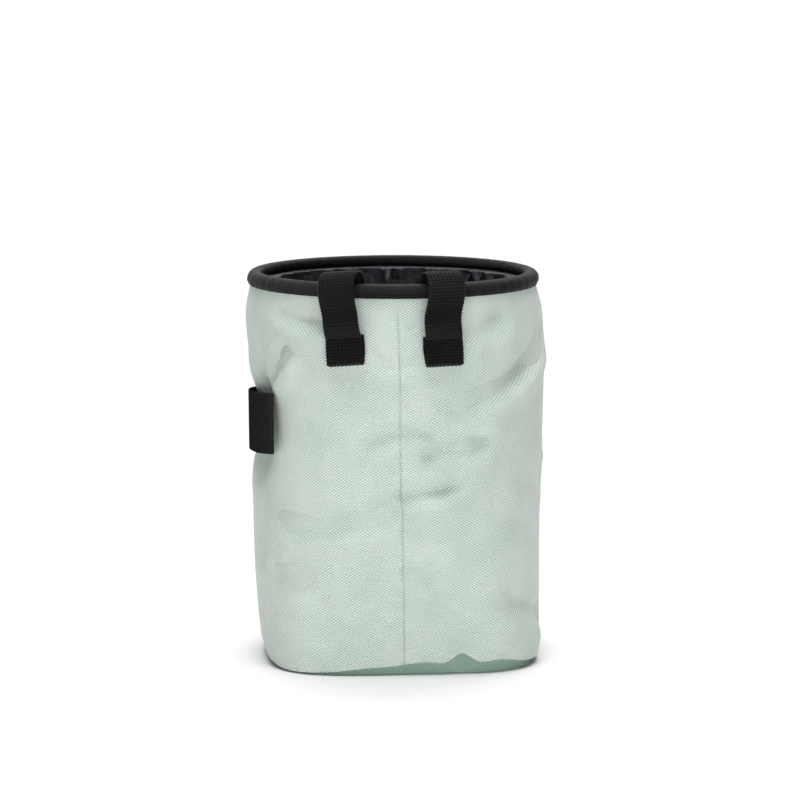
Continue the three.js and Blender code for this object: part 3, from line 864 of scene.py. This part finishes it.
def patch_radii(angle, width, z_low, z_high):
    """Turns and radii of the cloth tube under a patch of webbing."""
    spread = math.degrees(math.asin((width / 2 + seam_gap) / mouth_radius))
    turns, heights = np.meshgrid(np.linspace(-spread, spread, 17), np.linspace(z_low, z_high, 9))
    return turns, shell_radius(angle + turns, heights)


def flat_reach(angle, width, z_low, z_high):
    turns, radii = patch_radii(angle, width, z_low, z_high)
    reaches = radii * np.cos(np.radians(turns))
    return reaches.min(), reaches.max()


def belt_loop_path(direction):
    """Path of a belt loop in its own upright plane: distance from the bag's axis, and height."""
    half = belt_web_thickness / 2
    low_end = bag_height - belt_loop_drop
    tail_top = low_end + belt_tail_length
    fold_radius = half + layer_gap / 2
    rim_near, rim_far = flat_reach(direction, belt_web_width, binding_foot, bag_height)
    body_far = flat_reach(direction, belt_web_width, low_end, tail_top)[1]
    hung_far = flat_reach(direction, belt_web_width, tail_top, binding_foot)[1]
    inside = rim_near - channel_depth - tape_wall - seam_gap - half - layer_gap
    over = rim_far + seam_gap + 2 * tape_wall + half + layer_gap
    tail = body_far + seam_gap + half
    hang = tail + 2 * fold_radius
    clear = hung_far + belt_loop_clear + half
    arch_top = bag_height + belt_loop_rise - half
    shoulder = bag_height - tape_height / 2
    straight_low = tail_top + belt_straight["low"] * (shoulder - tail_top)
    straight_high = tail_top + belt_straight["high"] * (shoulder - tail_top)
    fold_height = low_end + fold_radius + half
    phases = np.linspace(0, -math.pi, 13)
    fold = np.stack(
        [tail + fold_radius * (1 + np.cos(phases)), fold_height + fold_radius * np.sin(phases)], axis=1
    )
    reach = over + belt_straight["reach"] * (clear - over)
    path = [
        [[inside, bag_height - belt_inner_end]],
        quadratic([inside, shoulder], [inside, arch_top], [(inside + over) / 2, arch_top]),
        quadratic([(inside + over) / 2, arch_top], [reach, arch_top], [clear, straight_high])[1:],
        quadratic(
            [clear, straight_low], [clear, (straight_low + tail_top) / 2], [hang, tail_top - fold_radius]
        ),
        fold,
        [[tail, tail_top]],
    ]
    return even_path(np.concatenate(path), web_step)


def zigzag(share):
    """Triangle wave between -1 and 1."""
    return 4 * np.abs(share % 1 - 0.5) - 1


def strap(name, path, across, outward_sign, width, thickness, relief, shift, spread, material):
    """Webbing swept along a path: rounded woven edges, and relief(along, beside) raised on both faces.
    Each place of the path is moved along across by its shift, and made wider or narrower by its spread."""
    tangent = np.gradient(path, axis=0)
    tangent /= np.linalg.norm(tangent, axis=1)[:, None]
    normal = np.cross(tangent, across) * outward_sign
    normal /= np.linalg.norm(normal, axis=1)[:, None]
    along = np.concatenate([[0], np.cumsum(np.linalg.norm(np.diff(path, axis=0), axis=1))])[:, None]
    edge = thickness / 2
    even = np.linspace(-1, 1, web_columns)
    beside = (0.25 * np.sin(even * math.pi / 2) + 0.75 * even) * width / 2
    inwards = np.clip((np.abs(beside) - (width / 2 - edge)) / edge, 0, 1)
    profile = edge * np.sqrt(np.maximum(1 - inwards**2, 0.02))
    beside = np.concatenate([beside, beside[::-1]])[None, :]
    side = np.concatenate([np.ones(web_columns), -np.ones(web_columns)])[None, :]
    profile = np.concatenate([profile, profile[::-1]])[None, :]
    raised = profile + relief(along, beside) * profile / edge
    points = (
        path[:, None, :]
        + across * (beside * spread[:, None] + shift[:, None])[..., None]
        + normal[:, None, :] * (side * raised)[..., None]
    )
    texture = np.stack([along + 0 * beside, beside * side + 0 * along], axis=-1)
    poles = np.array([points[0].mean(0), points[-1].mean(0)])
    piece = closed_surface(name, points, texture, 0.0, material, poles)
    return piece, tangent, normal, along[:, 0]


def belt_relief(along, beside):
    """Ribs across the strap that zigzag from thread to thread."""
    wander = 0.2 * zigzag(beside / (1.66 * mm))
    return 0.26 * mm * np.cos(2 * math.pi * (along / belt_rib + wander))


def belt_loop(loop, material, thread):
    direction = math.radians(loop["angle"])
    outward = np.array([math.sin(direction), -math.cos(direction), 0])
    flat = belt_loop_path(loop["angle"])
    lean = math.radians(loop["lean"])
    height = flat[:, 1] - bag_height
    side = np.cross(outward, [0, 0, 1])
    up = math.cos(lean) * np.array([0, 0, 1]) + math.sin(lean) * side
    across = math.cos(lean) * side - math.sin(lean) * np.array([0, 0, 1])
    path = np.array([0, 0, bag_height]) + flat[:, :1] * outward + height[:, None] * up
    steps = np.linalg.norm(np.diff(path, axis=0), axis=1)
    to_end = steps.sum() - np.concatenate([[0], np.cumsum(steps)])
    fold_at = belt_tail_length + belt_web_thickness
    hang_at = 2 * fold_at + 6 * mm
    hanging = bell(to_end - hang_at, 10 * mm)
    settled = smooth((2 * fold_at - to_end) / fold_at)
    folded = smooth((fold_at - to_end) / (0.7 * fold_at))
    shift = loop["sway"] * hanging + loop["settle"] * settled + loop["peek"] * folded
    ribbed_edge = 0.012 * np.cos(2 * math.pi * np.cumsum(np.concatenate([[0], steps])) / belt_rib)
    spread = 1 - loop["narrow"] * hanging + ribbed_edge
    name = loop["name"] + "_webbing"
    piece, _, normal, along = strap(
        name, path, across, 1, belt_web_width, belt_web_thickness, belt_relief, shift, spread, material
    )
    dress(piece, "webbing", loop["name"])
    row_at = along[-1] - belt_tail_length - belt_web_thickness - 2.9 * mm
    at = int(np.searchsorted(along, row_at))
    pitch = 2.1 * mm
    reach = belt_web_width / 2 - 1.6 * mm
    places = []
    for beside in np.arange(-reach, reach + pitch / 2, pitch):
        outside = belt_web_thickness / 2 + 0.05 * mm
        places.append(path[at] + across * (beside + shift[at]) + normal[at] * outside)
    stitches(loop["name"] + "_stitches", places, [across] * len(places), 1.5 * mm, "webbing", thread)


def brush_loop_path():
    """Path of the brush loop seen from above: folded tail, standing band, folded tail."""
    half = brush_web_thickness / 2
    fold_radius = half + layer_gap / 2
    middle = (brush_span["from"] + brush_span["to"]) / 2

    def turn_of(length):
        return math.degrees(length / mouth_radius)

    def seat_at(angle):
        aside = mouth_radius * math.sin(math.radians(angle - middle))
        lift = aside * math.sin(math.radians(brush_span["tilt"]))
        low = brush_loop_height + lift - brush_web_width / 2 - brush_web_thickness
        high = brush_loop_height + lift + brush_web_width / 2 + brush_web_thickness
        patch = brush_tail_length + 4 * brush_web_thickness
        return patch_radii(angle, patch, low, high)[1].max() + seam_gap + brush_seat_room + half

    tail = turn_of(brush_tail_length)
    start, end = brush_span["from"], brush_span["to"]
    start_seat = seat_at(start - tail / 2)
    end_seat = seat_at(end + tail / 2)
    share = np.linspace(0, 1, 60)
    free_half = (start - end) / 2 - tail
    aside = np.minimum(np.abs(start + (end - start) * share - middle), free_half)
    straight = math.cos(math.radians(free_half)) / np.cos(np.radians(aside))
    standing = start_seat + (end_seat - start_seat) * share + 2 * fold_radius
    standing = standing * (1 - brush_loop_pull * (1 - straight))
    angles = [start - tail, start - tail / 2, start, start + turn_of(fold_radius)]
    radii = [start_seat, start_seat, start_seat, start_seat + fold_radius]
    angles += list(start + (end - start) * share)
    radii += list(standing)
    angles += [end - turn_of(fold_radius), end, end + tail / 2, end + tail]
    radii += [end_seat + fold_radius, end_seat, end_seat, end_seat]
    return even_path(polar(np.array(radii), np.array(angles), 0.0), web_step)


def brush_relief(along, beside):
    """Flat ribs, with a coarser checker where the front end is folded under and sewn."""
    checker = np.cos(2 * math.pi * along / (1.1 * mm)) * np.cos(2 * math.pi * beside / (1.6 * mm))
    ribs = np.cos(2 * math.pi * beside / (1.25 * mm))
    front_end = brush_tail_length + 2 * brush_web_thickness
    doubled = 1 - smooth((along - 2 * front_end + 3 * mm) / (2 * mm))
    return 0.09 * mm * checker * doubled + 0.03 * mm * ribs * (1 - doubled)


def brush_loop(material):
    middle = math.radians((brush_span["from"] + brush_span["to"]) / 2)
    outward = np.array([math.sin(middle), -math.cos(middle), 0])
    tilt = math.radians(brush_span["tilt"])
    flat = brush_loop_path()
    along_side = np.cross(outward, flat)
    dots = flat @ outward
    turned = flat * math.cos(tilt) + along_side * math.sin(tilt)
    turned = turned + dots[:, None] * outward * (1 - math.cos(tilt))
    path = turned + np.array([0, 0, brush_loop_height])
    across = math.cos(tilt) * np.array([0, 0, 1]) + math.sin(tilt) * np.cross(outward, [0, 0, 1])
    piece = strap(
        "brush_loop_webbing", path, across, -1, brush_web_width, brush_web_thickness,
        brush_relief, np.zeros(len(path)), np.ones(len(path)), material,
    )[0]
    dress(piece, "brush_webbing", "brush_loop")


# Sewing


def stitches(name, places, directions, length, slot, material):
    """Short rounded threads: each a small spindle along its direction."""
    sides = 6
    thick = 0.26 * mm
    stations = [(-0.5, 0.35), (-0.36, 0.85), (0.0, 1.0), (0.36, 0.85), (0.5, 0.35)]
    points = []
    faces = []
    texture = []
    for place, direction in zip(places, directions):
        direction = np.array(direction) / np.linalg.norm(direction)
        helper = np.cross(direction, [0.3, 0.2, 0.9])
        first = helper / np.linalg.norm(helper)
        second = np.cross(direction, first)
        start = len(points)
        for along, size in stations:
            for side in range(sides):
                phase = 2 * math.pi * side / sides
                around = first * math.cos(phase) + second * math.sin(phase)
                points.append(place + direction * along * length + around * size * thick / 2)
        for row in range(len(stations) - 1):
            for side in range(sides):
                beside = (side + 1) % sides
                a = start + row * sides + side
                b = start + row * sides + beside
                faces.append([a, b, b + sides, a + sides])
                for r, s in ((row, side), (row, side + 1), (row + 1, side + 1), (row + 1, side)):
                    texture.append((stations[r][0] * length, s / sides * math.pi * thick))
        for row, order in ((0, -1), (len(stations) - 1, 1)):
            ring = [start + row * sides + side for side in range(sides)][::order]
            faces.append(ring)
            texture += [(stations[row][0] * length, 0.0)] * sides
    piece = add_mesh(name, np.array(points), faces, texture, material)
    dress(piece, slot)


def binding_stitches(material):
    """Row of stitches near the lower edge of the binding, outside and inside the mouth."""
    pitch = 3.1 * mm
    count = round(2 * math.pi * mouth_radius / pitch)
    angle = np.arange(count) * 360 / count
    height = binding_foot + 1.5 * mm
    rows = {"outside": seam_gap + tape_wall + 0.06 * mm, "inside": -channel_depth - tape_wall - 0.06 * mm}
    for side, offset in rows.items():
        places = binding_place(angle, offset + 0 * angle, height + 0 * angle)
        ahead = binding_place(angle + 0.5, offset + 0 * angle, height + 0 * angle)
        stitches("binding_stitches_" + side, places, ahead - places, 2.3 * mm, "binding_tape", material)


# Stage, light and camera


def studio_floor():
    """Wide pale sheet that curves up far behind the bag."""
    front, bend, back, rise = -2.5, 4.0, 5.5, 3.5
    drop = 0.15 * mm
    profile = [(front, -drop), (0.0, -drop), (bend, -drop)]
    for step in range(1, 13):
        phase = math.pi / 2 * step / 12
        profile.append((bend + (back - bend) * math.sin(phase), (back - bend) * (1 - math.cos(phase)) - drop))
    profile.append((back, rise))
    half = 4.0
    columns = 9
    points = []
    for y, z in profile:
        for column in range(columns):
            points.append((-half + 2 * half * column / (columns - 1), y, z))
    faces = []
    texture = []
    for row in range(len(profile) - 1):
        for column in range(columns - 1):
            a = row * columns + column
            corners = [a, a + 1, a + columns + 1, a + columns]
            faces.append(corners)
            texture += [points[corner][:2] for corner in corners]
    floor = add_mesh("studio_floor", np.array(points), faces, texture, studio_white())


def soft_light(name, place, target, size, power):
    light = bpy.data.lights.new(name, "AREA")
    light.shape = "RECTANGLE"
    light.size, light.size_y = size
    light.energy = power
    lamp = bpy.data.objects.new(name, light)
    lamp.location = place
    aim = Vector(target) - Vector(place)
    lamp.rotation_euler = aim.to_track_quat("-Z", "Y").to_euler()
    bpy.context.scene.collection.objects.link(lamp)


def studio_light():
    world = bpy.data.worlds.new("studio")
    world.use_nodes = True
    surround = world.node_tree.nodes["Background"]
    surround.inputs["Color"].default_value = (1, 1, 1, 1)
    surround.inputs["Strength"].default_value = 0.03
    bpy.context.scene.world = world
    middle = (0, 0, 0.08)
    soft_light("key_light", (0.0, -0.5, 1.6), middle, (0.9, 0.7), 15)
    soft_light("low_light", (0.0, -2.0, 0.25), (0, 0, 0.02), (1.6, 0.4), 20)
    soft_light("top_light", (0.0, 0.1, 1.7), middle, (0.9, 0.9), 12)
    soft_light("backdrop_light", (0.0, 3.4, 3.0), (0, 3.4, 0), (5.0, 5.0), 174)


def camera():
    """Camera of the photograph, fitted to the bag's outline in it."""
    distance = 1.8
    height = 0.3553
    side = 0.0021
    tilt = 7.818
    focal_pixels = 4278.8
    frame_pixels = 800
    data = bpy.data.cameras.new("photo_camera")
    data.sensor_width = 36
    data.lens = focal_pixels / frame_pixels * data.sensor_width
    data.clip_start = 0.1
    data.clip_end = 50
    eye = bpy.data.objects.new("photo_camera", data)
    eye.location = (side, -distance, height)
    eye.rotation_euler = (math.radians(90 - tilt), 0, 0)
    bpy.context.scene.collection.objects.link(eye)
    bpy.context.scene.camera = eye
    bpy.context.scene.view_settings.view_transform = "Standard"


# Shell colours: the cloth's range of tone, and through the weave the painted shade of the lower threads
# (dark) and the painted highlight of the upper threads (light).
shell_material = woven_cloth("shell_cloth", (0.25, 0.36, 0.30), (0.87, 0.93, 0.875))
# The base panel is the shell's cloth painted darker and greener all over: painted shade for its strip under
# the hem.
shaded_base_material = woven_cloth("base_cloth", (0.14, 0.25, 0.18), (0.40, 0.56, 0.47))
thread_material = sewing_thread()
# Webbing colours: the light one is the upper threads'; black_webbing paints the lower threads darker as
# painted shade.
webbing_material = black_webbing("webbing", belt_rib, 0.83 * mm, (0.006, 0.006, 0.0063), 0.16)
brush_material = black_webbing("brush_webbing", 1.1 * mm, 0.8 * mm, (0.036, 0.036, 0.0366), 0.0)

outer_shell(shell_material)
base_panel(shaded_base_material)
lining(lining_cloth())
rim_binding(binding_tape())
binding_stitches(thread_material)
for belt in belt_loops:
    belt_loop(belt, webbing_material, thread_material)
brush_loop(brush_material)
studio_floor()
studio_light()
camera()
